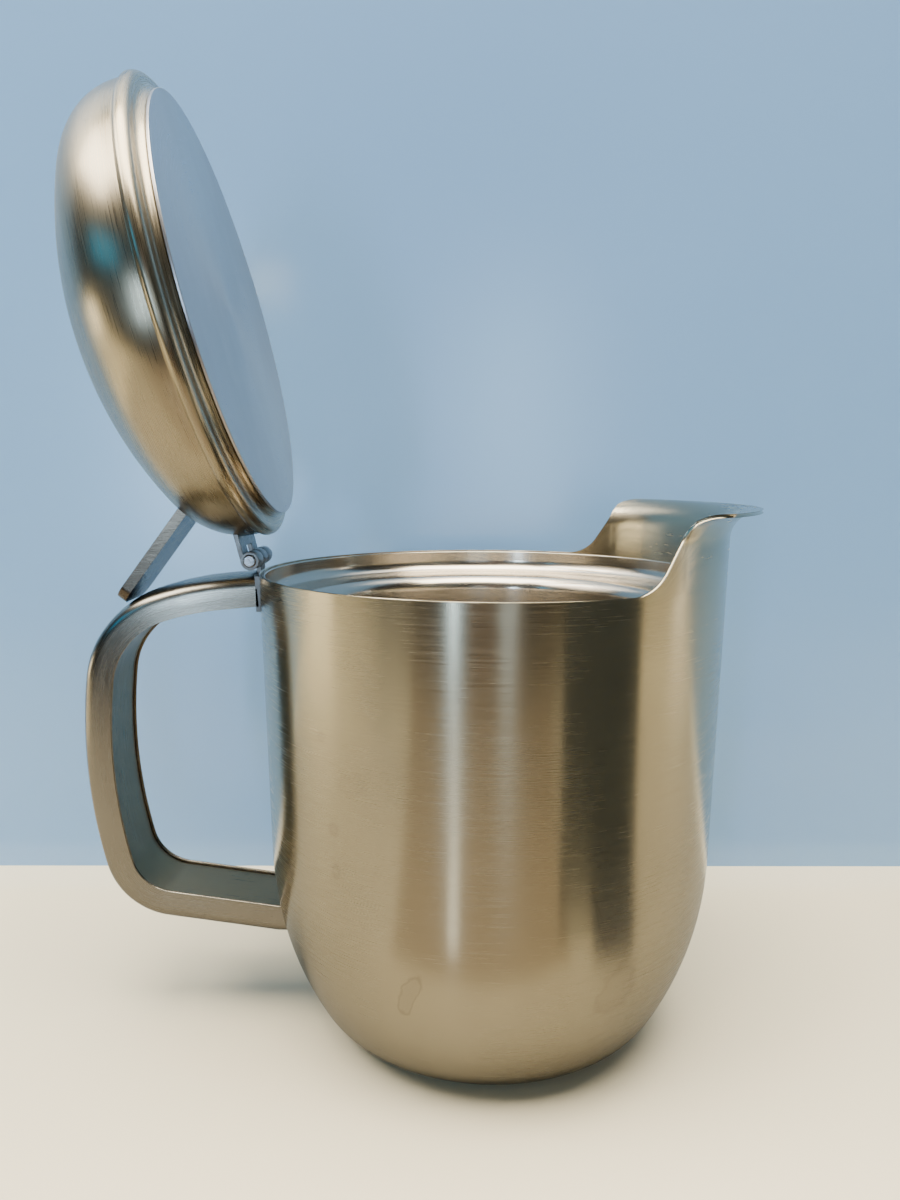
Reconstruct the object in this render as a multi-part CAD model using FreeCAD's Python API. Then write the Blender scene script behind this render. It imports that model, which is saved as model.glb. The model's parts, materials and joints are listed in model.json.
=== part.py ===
import FreeCAD, Part
import math
import os
from FreeCAD import Vector

# Lidded pouring jug in sheet stainless steel, double walled. Millimetres and degrees.
# Origin: centre of the base, on the standing surface. +Z up, +X towards the spout, -X towards the handle.
# The lid stands open, with its thumb lever resting just over the handle.

# Outer shell
RIM_RADIUS = 50.0
RIM_HEIGHT = 101.6
WALL_LEAN = 1.4              # the wall leans outwards going up
SHELL_SHEET = 0.7
FLANK_RADIUS = 70.0          # large arc where the wall turns in
FLANK_TURN = 28.6
CORNER_RADIUS = 15.0         # small arc that runs into the flat base
SEAT_RECESS_RADIUS = 17.0    # shallow recess for the base disc
POCKET_RADIUS = 9.0          # deeper pocket round the evacuation hole
POCKET_DEPTH = 0.9
JOGGLE_RADIUS = SHELL_SHEET + 0.1
JOGGLE_SLOPE = 45.0
HOLE_RADIUS = 2.5

# Spout collar
COLLAR_RISE = 14.4           # lip above the rim
LIP_REACH = 6.4              # lip beyond the rim
LIP_CURL_RADIUS = 5.3
LIP_SLOPE = 1.5
COLLAR_BEND_RADIUS = 8.0
COLLAR_CLIMB = 60.0
COLLAR_OVERSHOOT = 0.6       # the climbing edge ends this far over the lip
LIP_HALF_WIDTH = 38.7
LIP_CORNER_RADIUS = 5.0

# Liner
LINER_SHEET = 0.5
BAND_DEPTH = 2.6             # straight band under the rim
BAND_BEND_RADIUS = 3.5
SHELF_SLOPE = 12.0
SHELF_LENGTH = 3.2
NECK_BEND_RADIUS = 3.0
LINER_TAPER = 2.0
LINER_CORNER_RADIUS = 22.0
LINER_FLOOR_HEIGHT = 8.5

# Base parts
BASE_DISC_SHEET = 0.8
BASE_DISC_PLAY = 0.15
SEAL_HEAD_RADIUS = 4.5
SEAL_HEAD_THICKNESS = 0.5
SEAL_STEM_PLAY = 0.1
SEAL_STEM_LENGTH = 1.2
GETTER_INNER_RADIUS = 4.0
GETTER_OUTER_RADIUS = 7.0
GETTER_THICKNESS = 2.0

# Handle: its line is the finger side, from the upper foot round to the lower foot
HANDLE_DROP = 7.0            # finger side below the rim, at the wall
HANDLE_START_HEADING = 185.2
HANDLE_START_RUN = 6.8
HANDLE_BENDS = ((60.5, 13.3), (15.9, 64.5), (108.8, 21.1), (10.0, 67.7))   # radius, turn
HANDLE_WIDTH = 17.5
HANDLE_DEPTH = 6.9
HANDLE_CROWN = 1.2
HANDLE_EDGE_RADIUS = 2.4
HANDLE_SHEET = 0.8
STRIP_THICKNESS = 0.7
STRIP_RECESS = 0.4
FOOT_THICKNESS = 1.5

# Hinge
PIN_RADIUS = 1.25
PIN_ABOVE_RIM = 2.6
PIN_BEHIND_RIM = 1.3
PIN_OVERHANG = 0.35
RUNNING_CLEARANCE = 0.05
KNUCKLE_RADIUS = 1.95
KNUCKLE_GAP = 0.2
MIDDLE_KNUCKLE = 5.1
HINGE_LENGTH = 16.0
LEAF_THICKNESS = 1.0
BRACKET_TOP_GAP = 0.5        # bracket plate below the rim
BRACKET_HEIGHT = 7.6
WINDOW_DEPTH = 3.3           # window in the strap, inboard of the pin

# Lid, drawn closed and then opened about the pin
OPEN_ANGLE = 103.6
LID_SIDE_GAP = 1.75          # bead to liner, closed
LID_SEAT_GAP = 0.3           # disc to shelf, closed
DISC_SHEET = 0.6
PAN_SHEET = 0.6
LEDGE_WIDTH = 5.0            # flange of the pan that lies on the disc
FOOT_BEND_RADIUS = 0.8
FOOT_BEND_TURN = 70.0
COVE_RADIUS = 1.8
COVE_TURN = 65.0
COVE_RUN = 0.7
DISC_MARGIN = 0.7            # disc beyond the start of the pan's bend
DOME_SHEET = 0.6
BEAD_LOWER_RADIUS = 1.8
BEAD_UPPER_RADIUS = 1.1
BEAD_UPPER_TURN = 65.0
BEAD_ROOT_RADIUS = 0.3
DOME_WALL = 0.9
SHOULDER_RADIUS = 14.5
SHOULDER_TURN = 59.0
LEVER_THICKNESS = 2.2
LEVER_WIDTH = 15.0
LEVER_ROOT_INSET = 9.2       # root of the lever inboard of the dome's wall
LEVER_ANGLE = 129.6          # from +X, closed
LEVER_CORNER_RADIUS = 3.0
LEVER_STOP_GAP = 0.3         # lever to handle, lid open

PIN_X = -(RIM_RADIUS + PIN_BEHIND_RIM)
PIN_Z = RIM_HEIGHT + PIN_ABOVE_RIM
POCKET_ROOF = BASE_DISC_SHEET + POCKET_DEPTH
UPRIGHT = 90 - WALL_LEAN
AXIS = Vector(0, 0, 1)
CROSS = Vector(0, 1, 0)
FAR = 300.0


# ---- chains of tangent lines and arcs in the XZ plane ----

def direction(heading):
    angle = math.radians(heading)
    return Vector(math.cos(angle), 0, math.sin(angle))


class Chain:
    """Lines and arcs laid end to end, each tangent to the one before."""

    def __init__(self, x, z, heading):
        self.start = Vector(x, 0, z)
        self.start_heading = heading
        self.point = self.start
        self.heading = heading
        self.moves = []
        self.edges = []

    def line(self, length):
        end = self.point + direction(self.heading) * length
        self.edges.append(Part.LineSegment(self.point, end).toShape())
        self.moves.append((length, 0))
        self.point = end
        return self

    def line_to_x(self, x):
        return self.line((x - self.point.x) / direction(self.heading).x)

    def line_to_z(self, z):
        return self.line((z - self.point.z) / direction(self.heading).z)

    def arc(self, radius, turn):
        """A positive turn goes to the left."""
        reach = math.copysign(radius, turn)
        centre = self.point + direction(self.heading + 90) * reach
        middle = centre - direction(self.heading + turn / 2 + 90) * reach
        end = centre - direction(self.heading + turn + 90) * reach
        self.edges.append(Part.Arc(self.point, middle, end).toShape())
        self.moves.append((radius, turn))
        self.point = end
        self.heading += turn
        return self

    def parallel(self, distance):
        """The same chain moved to its left."""
        start = self.start + direction(self.start_heading + 90) * distance
        other = Chain(start.x, start.z, self.start_heading)
        for size, turn in self.moves:
            if turn == 0:
                other.line(size)
            else:
                other.arc(size - math.copysign(1, turn) * distance, turn)
        return other

    def sheet(self, thickness):
        """The face between the chain and its parallel."""
        other = self.parallel(thickness)
        ends = [Part.LineSegment(self.point, other.point).toShape()]
        ends.append(Part.LineSegment(other.start, self.start).toShape())
        return face(self.edges + other.edges + ends)

    def filled(self):
        """The face between the chain and the body's axis."""
        foot = Vector(0, 0, self.start.z)
        top = Vector(0, 0, self.point.z)
        ends = [line_edge(a, b) for a, b in ((self.point, top), (top, foot), (foot, self.start)) if a != b]
        return face(self.edges + ends)


def bend_offset(heading, bends):
    """How far a run of bends moves the end of a chain."""
    chain = Chain(0, 0, heading)
    for radius, turn in bends:
        chain.arc(radius, turn)
    return chain.point


def line_edge(a, b):
    return Part.LineSegment(a, b).toShape()


def face(edges):
    return Part.Face(Part.Wire(Part.__sortEdges__(edges)))


def spin(section):
    return section.revolve(Vector(0, 0, 0), AXIS, 360)


def across(section, half_width):
    """A side-view face made solid to both sides of the middle plane."""
    placed = section.copy()
    placed.translate(CROSS * -half_width)
    return placed.extrude(CROSS * (2 * half_width))


def box(x, y, z):
    return Part.makeBox(x[1] - x[0], y[1] - y[0], z[1] - z[0], Vector(x[0], y[0], z[0]))


def rod(radius, y_from, y_to):
    """A cylinder on the hinge's axis."""
    return Part.makeCylinder(radius, y_to - y_from, Vector(PIN_X, y_from, PIN_Z), CROSS)


def one_solid(shape):
    return max(shape.removeSplitter().Solids, key=lambda solid: solid.Volume)


# ---- body ----

def joggle(chain, drop):
    """Step the base sheet down by a slanted joggle."""
    curved = -bend_offset(0, ((JOGGLE_RADIUS, -JOGGLE_SLOPE), (JOGGLE_RADIUS, JOGGLE_SLOPE))).z
    chain.arc(JOGGLE_RADIUS, -JOGGLE_SLOPE)
    chain.line((drop - curved) / math.sin(math.radians(JOGGLE_SLOPE)))
    chain.arc(JOGGLE_RADIUS, JOGGLE_SLOPE)


WALL_BENDS = ((CORNER_RADIUS, UPRIGHT - FLANK_TURN), (FLANK_RADIUS, FLANK_TURN))
WALL_CURVE = bend_offset(0, WALL_BENDS)
BASE_RADIUS = RIM_RADIUS - WALL_CURVE.x - (RIM_HEIGHT - WALL_CURVE.z) * math.tan(math.radians(WALL_LEAN))


def wall_chain():
    """Outside of the wall, from the edge of the flat base upwards."""
    chain = Chain(BASE_RADIUS, 0, 0)
    for radius, turn in WALL_BENDS:
        chain.arc(radius, turn)
    return chain


def envelope():
    """The space inside the outside face of the wall."""
    return spin(wall_chain().line_to_z(RIM_HEIGHT).filled())


def shell_section():
    chain = Chain(HOLE_RADIUS, POCKET_ROOF, 0)
    chain.line_to_x(POCKET_RADIUS)
    joggle(chain, POCKET_DEPTH)
    chain.line_to_x(SEAT_RECESS_RADIUS)
    joggle(chain, BASE_DISC_SHEET)
    chain.line_to_x(BASE_RADIUS)
    for radius, turn in WALL_BENDS:
        chain.arc(radius, turn)
    curl = (LIP_CURL_RADIUS, LIP_SLOPE - UPRIGHT)
    lip_under = RIM_HEIGHT + COLLAR_RISE - SHELL_SHEET
    chain.line_to_z(lip_under - bend_offset(UPRIGHT, (curl,)).z)
    chain.arc(*curl)
    chain.line_to_x(RIM_RADIUS + LIP_REACH + 1)
    return chain.sheet(SHELL_SHEET)


def collar_side_cut():
    """Everything above the rim and above the climbing edge of the collar, in side view."""
    rise = COLLAR_RISE + COLLAR_OVERSHOOT
    bends = ((COLLAR_BEND_RADIUS, COLLAR_CLIMB), (COLLAR_BEND_RADIUS, -COLLAR_CLIMB))
    slope = math.radians(COLLAR_CLIMB)
    curved = bend_offset(0, bends)
    climb = (rise - curved.z) / math.sin(slope)
    middle = math.sqrt(RIM_RADIUS ** 2 - LIP_HALF_WIDTH ** 2)
    foot = middle - (curved.x + climb * math.cos(slope)) / 2
    edge = Chain(-FAR, RIM_HEIGHT, 0).line_to_x(foot)
    edge.arc(*bends[0]).line(climb).arc(*bends[1]).line_to_x(FAR)
    corners = [edge.point, Vector(FAR, 0, FAR), Vector(-FAR, 0, FAR), edge.start]
    sides = [line_edge(a, b) for a, b in zip(corners, corners[1:])]
    return across(face(edge.edges + sides), FAR)


def collar_plan_cut():
    """Everything outside the lip's rounded outline, in plan view."""
    lip = RIM_RADIUS + LIP_REACH
    corner = LIP_CORNER_RADIUS
    wall = RIM_RADIUS + COLLAR_RISE * math.tan(math.radians(WALL_LEAN))
    from_x = math.sqrt(wall ** 2 - LIP_HALF_WIDTH ** 2)
    centre_y = LIP_HALF_WIDTH - corner
    centre_x = math.sqrt((lip - corner) ** 2 - centre_y ** 2)
    outline = Part.makeCylinder(lip, COLLAR_RISE * 2, Vector(0, 0, RIM_HEIGHT))
    outline = outline.common(box((0, FAR), (-LIP_HALF_WIDTH, LIP_HALF_WIDTH), (RIM_HEIGHT, FAR)))
    for side in (-1, 1):
        centre = Vector(centre_x, side * centre_y, RIM_HEIGHT)
        meets_line = centre + Vector(0, side * corner, 0)
        meets_lip = Vector(centre.x, centre.y, 0) * (lip / (lip - corner)) + AXIS * RIM_HEIGHT
        beyond = Vector(lip, side * lip, RIM_HEIGHT)
        tip = Part.Face(Part.makePolygon([centre, meets_line, beyond, meets_lip, centre]))
        tip = tip.extrude(AXIS * COLLAR_RISE * 2)
        round_tip = Part.makeCylinder(corner, COLLAR_RISE * 2, centre)
        outline = outline.cut(tip.cut(round_tip))
    return box((from_x, FAR), (-FAR, FAR), (RIM_HEIGHT, FAR)).cut(outline)


def outer_shell():
    shell = spin(shell_section())
    return one_solid(shell.cut([collar_side_cut(), collar_plan_cut()]))


def liner_chain():
    """The liner's vacuum side, from the rim inwards and down to the middle of the floor."""
    lean = math.radians(WALL_LEAN)
    chain = Chain(RIM_RADIUS - SHELL_SHEET / math.cos(lean), RIM_HEIGHT, 270 - WALL_LEAN)
    chain.line(BAND_DEPTH).arc(BAND_BEND_RADIUS, SHELF_SLOPE + WALL_LEAN - 90).line(SHELF_LENGTH)
    chain.arc(NECK_BEND_RADIUS, 90 - SHELF_SLOPE - LINER_TAPER)
    corner = (LINER_CORNER_RADIUS, LINER_TAPER - 90)
    chain.line_to_z(LINER_FLOOR_HEIGHT - LINER_SHEET - bend_offset(chain.heading, (corner,)).z)
    return chain.arc(*corner).line_to_x(0)


def inner_vessel():
    return one_solid(spin(liner_chain().sheet(-LINER_SHEET)))


def base_disc():
    return Part.makeCylinder(SEAT_RECESS_RADIUS - BASE_DISC_PLAY, BASE_DISC_SHEET)


def vacuum_seal():
    head = Part.makeCylinder(SEAL_HEAD_RADIUS, SEAL_HEAD_THICKNESS, AXIS * (POCKET_ROOF - SEAL_HEAD_THICKNESS))
    stem = Part.makeCylinder(HOLE_RADIUS - SEAL_STEM_PLAY, SEAL_STEM_LENGTH, AXIS * POCKET_ROOF)
    return one_solid(head.fuse(stem))


def getter():
    seat = AXIS * (POCKET_ROOF + SHELL_SHEET)
    ring = Part.makeCylinder(GETTER_OUTER_RADIUS, GETTER_THICKNESS, seat)
    return ring.cut(Part.makeCylinder(GETTER_INNER_RADIUS, GETTER_THICKNESS, seat))


# ---- handle ----

def handle_chain():
    overrun = RIM_RADIUS / 8
    start_z = RIM_HEIGHT - HANDLE_DROP + overrun * math.tan(math.radians(HANDLE_START_HEADING - 180))
    chain = Chain(overrun - RIM_RADIUS, start_z, HANDLE_START_HEADING)
    chain.line(HANDLE_START_RUN + overrun)
    for radius, turn in HANDLE_BENDS:
        chain.arc(radius, turn)
    return chain.line_to_x(-BASE_RADIUS)


def crown_outline(inset, floor):
    """Arched outline of the channel, moved in by the inset, from one foot at the floor to the other."""
    half = HANDLE_WIDTH / 2
    crown = (half ** 2 + HANDLE_CROWN ** 2) / (2 * HANDLE_CROWN)
    crown_centre = HANDLE_DEPTH - crown
    edge = HANDLE_EDGE_RADIUS
    edge_y = half - edge
    edge_w = crown_centre + math.sqrt((crown - edge) ** 2 - edge_y ** 2)
    lean = math.atan2(edge_y, edge_w - crown_centre)
    side = half - inset
    shoulder_y = edge_y + (edge - inset) * math.sin(lean)
    shoulder_w = edge_w + (edge - inset) * math.cos(lean)
    middle = (math.pi / 2 + lean) / 2
    knee_y = edge_y + (edge - inset) * math.sin(middle)
    knee_w = edge_w + (edge - inset) * math.cos(middle)
    left = [(-side, floor), (-side, edge_w), (-knee_y, knee_w), (-shoulder_y, shoulder_w)]
    return left + [(0, HANDLE_DEPTH - inset)] + [(-y, w) for y, w in reversed(left)]


def placed(y, w):
    """A point of the handle's section, where the handle starts."""
    chain = handle_chain()
    return chain.start + CROSS * y + direction(chain.start_heading - 90) * w


def outline_edges(points):
    p = [placed(y, w) for y, w in points]
    arcs = [Part.Arc(*p[i:i + 3]).toShape() for i in (1, 3, 5)]
    return [line_edge(p[0], p[1])] + arcs + [line_edge(p[7], p[8])]


def along_handle(edges):
    path = Part.Wire(handle_chain().edges)
    section = Part.Wire(Part.__sortEdges__(edges))
    return path.makePipeShell([section], True, False)


def trimmed(shape):
    """Cut back to the wall and to the hinge bracket that lies on it."""
    return one_solid(shape.cut([envelope(), hinge_bracket()]))


def handle_channel():
    outside = crown_outline(0, 0)
    inside = crown_outline(HANDLE_SHEET, 0)
    lips = [line_edge(placed(*outside[i]), placed(*inside[i])) for i in (0, -1)]
    return trimmed(along_handle(outline_edges(outside) + outline_edges(inside) + lips))


def handle_strip():
    half = HANDLE_WIDTH / 2 - HANDLE_SHEET
    low = STRIP_RECESS
    high = STRIP_RECESS + STRIP_THICKNESS
    corners = [placed(y, w) for y, w in ((-half, low), (half, low), (half, high), (-half, high))]
    return trimmed(along_handle([line_edge(a, b) for a, b in zip(corners, corners[1:] + corners[:1])]))


def handle_core():
    outline = crown_outline(HANDLE_SHEET, STRIP_RECESS + STRIP_THICKNESS)
    closing = line_edge(placed(*outline[0]), placed(*outline[-1]))
    return along_handle(outline_edges(outline) + [closing])


def handle_foot(core, upper):
    """Plate inside the end of the handle, lying against the wall."""
    gap = LEAF_THICKNESS if upper else 0
    levels = (RIM_HEIGHT / 2, FAR) if upper else (-FAR, RIM_HEIGHT / 2)
    near = spin(wall_chain().line_to_z(RIM_HEIGHT).parallel(-gap).filled())
    outer = spin(wall_chain().line_to_z(RIM_HEIGHT).parallel(-gap - FOOT_THICKNESS).filled())
    band = outer.cut(near).common(box((-FAR, 0), (-FAR, FAR), levels))
    return trimmed(core.common(band))


# ---- hinge ----

def bracket_plate():
    """Plate bent to the wall, under the upper end of the handle."""
    top = RIM_HEIGHT - BRACKET_TOP_GAP
    wall = wall_chain().line_to_z(RIM_HEIGHT)
    ring = spin(wall.parallel(-LEAF_THICKNESS).filled()).cut(spin(wall.filled()))
    half = HANDLE_WIDTH / 2
    return one_solid(ring.common(box((-FAR, 0), (-half, half), (top - BRACKET_HEIGHT, top))))


def hinge_bracket():
    half = (MIDDLE_KNUCKLE - KNUCKLE_GAP) / 2
    top = RIM_HEIGHT - BRACKET_TOP_GAP
    tongue = box((-RIM_RADIUS - LEAF_THICKNESS, -RIM_RADIUS), (-half, half), (top - 1, PIN_Z))
    leaf = bracket_plate().fuse([tongue, rod(KNUCKLE_RADIUS, -half, half)])
    return one_solid(leaf.cut(rod(PIN_RADIUS, -half, half)))


def hinge_pin():
    end = HINGE_LENGTH / 2 + PIN_OVERHANG
    return rod(PIN_RADIUS, -end, end)


# ---- lid, closed ----

def pan_chain(x, z):
    """Underside of the pan, outwards from the flange on the disc."""
    chain = Chain(x, z, 0).line(LEDGE_WIDTH)
    return chain.arc(FOOT_BEND_RADIUS, FOOT_BEND_TURN).arc(COVE_RADIUS, -COVE_TURN).line(COVE_RUN)


BEAD_RADIUS = RIM_RADIUS - SHELL_SHEET - LINER_SHEET - LID_SIDE_GAP
BEAD_START = FOOT_BEND_TURN - COVE_TURN
PAN_WIDTH = pan_chain(0, 0).point.x
PAN_START = BEAD_RADIUS - bend_offset(BEAD_START, ((BEAD_LOWER_RADIUS, 90 - BEAD_START),)).x - PAN_WIDTH
DISC_RADIUS = PAN_START + LEDGE_WIDTH + DISC_MARGIN


def shelf_height(radius):
    """Height of the liner's shelf, on the milk side."""
    top = liner_chain().parallel(-LINER_SHEET)
    bend_end = top.edges[1].Vertexes[1].Point
    shelf_end = top.edges[2].Vertexes[1].Point
    share = (bend_end.x - radius) / (bend_end.x - shelf_end.x)
    return bend_end.z + share * (shelf_end.z - bend_end.z)


DISC_Z = shelf_height(DISC_RADIUS) + LID_SEAT_GAP


def opened(shape):
    """Swing a piece of the lid from closed to open."""
    turned = shape.copy()
    turned.rotate(Vector(PIN_X, 0, PIN_Z), CROSS, -OPEN_ANGLE)
    return turned


def lid_disc():
    return Part.makeCylinder(DISC_RADIUS, DISC_SHEET, AXIS * DISC_Z)


def lid_pan():
    return one_solid(spin(pan_chain(PAN_START, DISC_Z + DISC_SHEET).sheet(PAN_SHEET)))


def dome_chain():
    """Outside of the dome, from its joint with the pan, round the bead and up to the crown."""
    joint = pan_chain(PAN_START, DISC_Z + DISC_SHEET)
    chain = Chain(joint.point.x, joint.point.z, joint.heading).arc(BEAD_LOWER_RADIUS, 90 - BEAD_START)
    chain.arc(BEAD_UPPER_RADIUS, BEAD_UPPER_TURN).arc(BEAD_ROOT_RADIUS, -BEAD_UPPER_TURN).line(DOME_WALL)
    chain.arc(SHOULDER_RADIUS, SHOULDER_TURN)
    crown_turn = 180 - chain.heading
    return chain.arc(chain.point.x / math.sin(math.radians(crown_turn)), crown_turn)


def dome_space():
    return spin(dome_chain().filled())


def lid_dome():
    return one_solid(spin(dome_chain().sheet(DOME_SHEET)))


def hinge_strap():
    half = HINGE_LENGTH / 2
    inner = (MIDDLE_KNUCKLE + KNUCKLE_GAP) / 2
    top = PIN_Z + KNUCKLE_RADIUS
    leaf = box((PIN_X, -RIM_RADIUS / 2), (-half, half), (top - LEAF_THICKNESS, top))
    knuckles = [rod(KNUCKLE_RADIUS, -half, -inner), rod(KNUCKLE_RADIUS, inner, half)]
    window = box((PIN_X - FAR, PIN_X + WINDOW_DEPTH), (-inner, inner), (0, FAR))
    bore = rod(PIN_RADIUS + RUNNING_CLEARANCE, -half, half)
    strap = leaf.cut([dome_space(), window]).fuse(knuckles)
    return one_solid(strap.cut(bore))


def lever_root():
    """Where the lever's middle line leaves the dome."""
    radius = BEAD_RADIUS - LEVER_ROOT_INSET
    crown = dome_chain().edges[-2:]
    upright = line_edge(Vector(-radius, 0, 0), Vector(-radius, 0, FAR))
    mirrored = [edge.mirror(Vector(0, 0, 0), Vector(1, 0, 0)) for edge in crown]
    return upright.distToShape(Part.Wire(mirrored))[1][0][0]


def lever_length():
    """From the dome to just short of the handle's crown, with the lid open."""
    start = lever_root() + direction(LEVER_ANGLE + 90) * (LEVER_THICKNESS / 2)
    under = opened(line_edge(start, start + direction(LEVER_ANGLE) * FAR))
    stop = Part.Wire(handle_chain().parallel(-HANDLE_DEPTH - LEVER_STOP_GAP).edges)
    crossings = under.distToShape(stop)[1]
    return min((pair[0] - under.Vertexes[0].Point).Length for pair in crossings)


def thumb_lever():
    away = direction(LEVER_ANGLE)
    side = direction(LEVER_ANGLE + 90) * (LEVER_THICKNESS / 2)
    root = lever_root() - away * SHOULDER_RADIUS / 2
    tip = lever_root() + away * lever_length()
    section = Part.Face(Part.makePolygon([root - side, tip - side, tip + side, root + side, root - side]))
    plate = across(section, LEVER_WIDTH / 2)
    corners = [edge for edge in plate.Edges if at_tip(edge, tip) and abs(edge.tangentAt(0).y) < 0.5]
    plate = plate.makeFillet(LEVER_CORNER_RADIUS, corners)
    return one_solid(plate.cut(dome_space()))


def at_tip(edge, tip):
    """Whether a whole edge lies within the lever's end face."""
    return all(abs((v.Point - tip).dot(direction(LEVER_ANGLE))) < 0.01 for v in edge.Vertexes)


def main():
    core = handle_core()
    pieces = {
        "outer_shell": outer_shell(),
        "inner_vessel": inner_vessel(),
        "base_disc": base_disc(),
        "vacuum_seal": vacuum_seal(),
        "getter": getter(),
        "handle_channel": handle_channel(),
        "handle_strip": handle_strip(),
        "handle_upper_foot": handle_foot(core, True),
        "handle_lower_foot": handle_foot(core, False),
        "hinge_bracket": hinge_bracket(),
        "hinge_pin": hinge_pin(),
        "lid_dome": opened(lid_dome()),
        "lid_pan": opened(lid_pan()),
        "lid_disc": opened(lid_disc()),
        "hinge_strap": opened(hinge_strap()),
        "thumb_lever": opened(thumb_lever()),
    }
    os.makedirs("parts", exist_ok=True)
    for name, shape in pieces.items():
        assert shape.isValid() and shape.Volume > 0, name
        shape.exportStep("parts/" + name + ".step")
        size = shape.BoundBox
        print(name, round(shape.Volume, 1), [round(v, 2) for v in (size.XMin, size.XMax, size.YMin, size.YMax,
                                                                   size.ZMin, size.ZMax)])


main()
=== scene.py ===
"""Looks of a lidded steel pouring jug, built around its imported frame."""

import json
import math

import bpy
import numpy as np
from bpy.props import FloatProperty, FloatVectorProperty, IntProperty, PointerProperty
from mathutils import Matrix, Vector


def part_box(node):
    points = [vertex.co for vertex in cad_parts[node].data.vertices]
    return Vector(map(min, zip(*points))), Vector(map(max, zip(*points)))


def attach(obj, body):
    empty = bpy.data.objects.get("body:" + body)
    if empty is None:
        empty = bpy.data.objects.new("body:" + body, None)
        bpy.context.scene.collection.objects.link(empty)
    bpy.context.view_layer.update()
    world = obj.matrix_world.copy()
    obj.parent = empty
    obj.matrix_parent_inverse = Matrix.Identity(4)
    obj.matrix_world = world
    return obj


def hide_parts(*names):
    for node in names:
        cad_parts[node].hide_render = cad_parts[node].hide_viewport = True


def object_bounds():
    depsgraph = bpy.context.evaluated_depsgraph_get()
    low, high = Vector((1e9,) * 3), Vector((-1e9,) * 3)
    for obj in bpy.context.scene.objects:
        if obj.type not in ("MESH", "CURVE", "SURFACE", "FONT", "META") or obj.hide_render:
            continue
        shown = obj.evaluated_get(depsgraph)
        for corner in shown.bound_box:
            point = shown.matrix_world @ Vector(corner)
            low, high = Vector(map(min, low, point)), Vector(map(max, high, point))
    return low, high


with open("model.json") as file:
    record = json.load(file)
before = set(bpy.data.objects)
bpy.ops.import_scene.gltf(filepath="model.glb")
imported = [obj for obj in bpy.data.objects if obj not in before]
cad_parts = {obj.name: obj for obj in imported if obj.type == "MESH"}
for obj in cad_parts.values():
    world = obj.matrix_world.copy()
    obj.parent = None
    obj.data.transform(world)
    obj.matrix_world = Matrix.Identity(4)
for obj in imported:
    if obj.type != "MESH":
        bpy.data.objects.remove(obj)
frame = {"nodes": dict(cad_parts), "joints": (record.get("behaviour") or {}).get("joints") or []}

bl_info = {
    "name": "Lidded Pouring Jug",
    "version": (1, 0, 0),
    "blender": (4, 5, 0),
    "location": "View3D > Sidebar > Jug",
    "description": "Builds the sheet steel pieces of a lidded pouring jug, their finishes and a plain studio",
    "category": "Object",
}

MM = 0.001
BRUSH_MAP = "brush"
SHARP_ANGLE = math.radians(40)
CAD_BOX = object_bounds()
HINGE = frame["joints"][0]
PIN = Vector(HINGE["pos_m"])
OPEN_ANGLE = math.radians(HINGE["range_deg"][1])
SHELL_LOW, SHELL_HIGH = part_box("outer_shell")
RIM_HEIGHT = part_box("inner_vessel")[1].z


# ---------------------------------------------------------------- sizes and colours

def length_in_mm(name, description, default):
    return FloatProperty(name=name, description=description, default=default * MM, unit="LENGTH")


def angle_in_degrees(name, description, default):
    return FloatProperty(name=name, description=description, default=math.radians(default), subtype="ANGLE")


def base_colour(name, description, default):
    return FloatVectorProperty(name=name, description=description, default=default, subtype="COLOR")


class JugShellSizes(bpy.types.PropertyGroup):
    rim_radius: length_in_mm("Rim radius", "Outside of the wall at the rim", 50)
    wall_lean: angle_in_degrees("Wall lean", "How far the wall leans outwards going up", 1.4)
    sheet: length_in_mm("Sheet", "Thickness of the outer sheet", 0.7)
    flank_radius: length_in_mm("Flank radius", "Large arc where the wall turns in", 70)
    flank_turn: angle_in_degrees("Flank turn", "Turn of the large arc", 28.6)
    corner_radius: length_in_mm("Corner radius", "Small arc into the flat base", 15)
    recess_radius: length_in_mm("Base recess", "Radius of the recess for the base disc", 17)
    lip_reach: length_in_mm("Lip reach", "Pouring lip beyond the rim", 6.4)
    lip_curl: length_in_mm("Lip curl", "Arc under the pouring lip", 5.3)
    lip_half_width: length_in_mm("Lip half width", "Half of the pouring lip's width", 38.7)
    lip_corner: length_in_mm("Lip corner", "Rounding of the lip's corners", 5)
    collar_bend: length_in_mm("Collar bend", "Arcs of the collar's climbing edge", 8)
    collar_climb: angle_in_degrees("Collar climb", "Slope of the climbing edge", 60)
    columns: IntProperty(name="Columns", description="Mesh columns round the wall", default=260, min=64)


class JugLidSizes(bpy.types.PropertyGroup):
    bead_radius: length_in_mm("Bead radius", "Crest of the lid's bead", 47.05)
    sheet: length_in_mm("Sheet", "Thickness of the lid's sheets", 0.6)
    shoulder_radius: length_in_mm("Shoulder radius", "Arc between the dome's wall and crown", 14.5)
    shoulder_turn: angle_in_degrees("Shoulder turn", "Turn of the shoulder's arc", 59)
    disc_edge: length_in_mm("Disc edge", "Rounding of the disc's edge", 0.15)


class JugHandleSizes(bpy.types.PropertyGroup):
    width: length_in_mm("Width", "Across the handle", 17.5)
    depth: length_in_mm("Depth", "Finger side to the top of the crown", 6.9)
    crown: length_in_mm("Crown", "Rise of the arched back", 1.2)
    edge_radius: length_in_mm("Edge radius", "Rounding of the channel's edges", 2.4)
    sheet: length_in_mm("Sheet", "Thickness of the channel", 0.8)
    recess: length_in_mm("Strip recess", "Strip below the channel's lips", 0.4)
    seam: length_in_mm("Seam", "Gap between the strip and the channel", 0.22)


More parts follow.
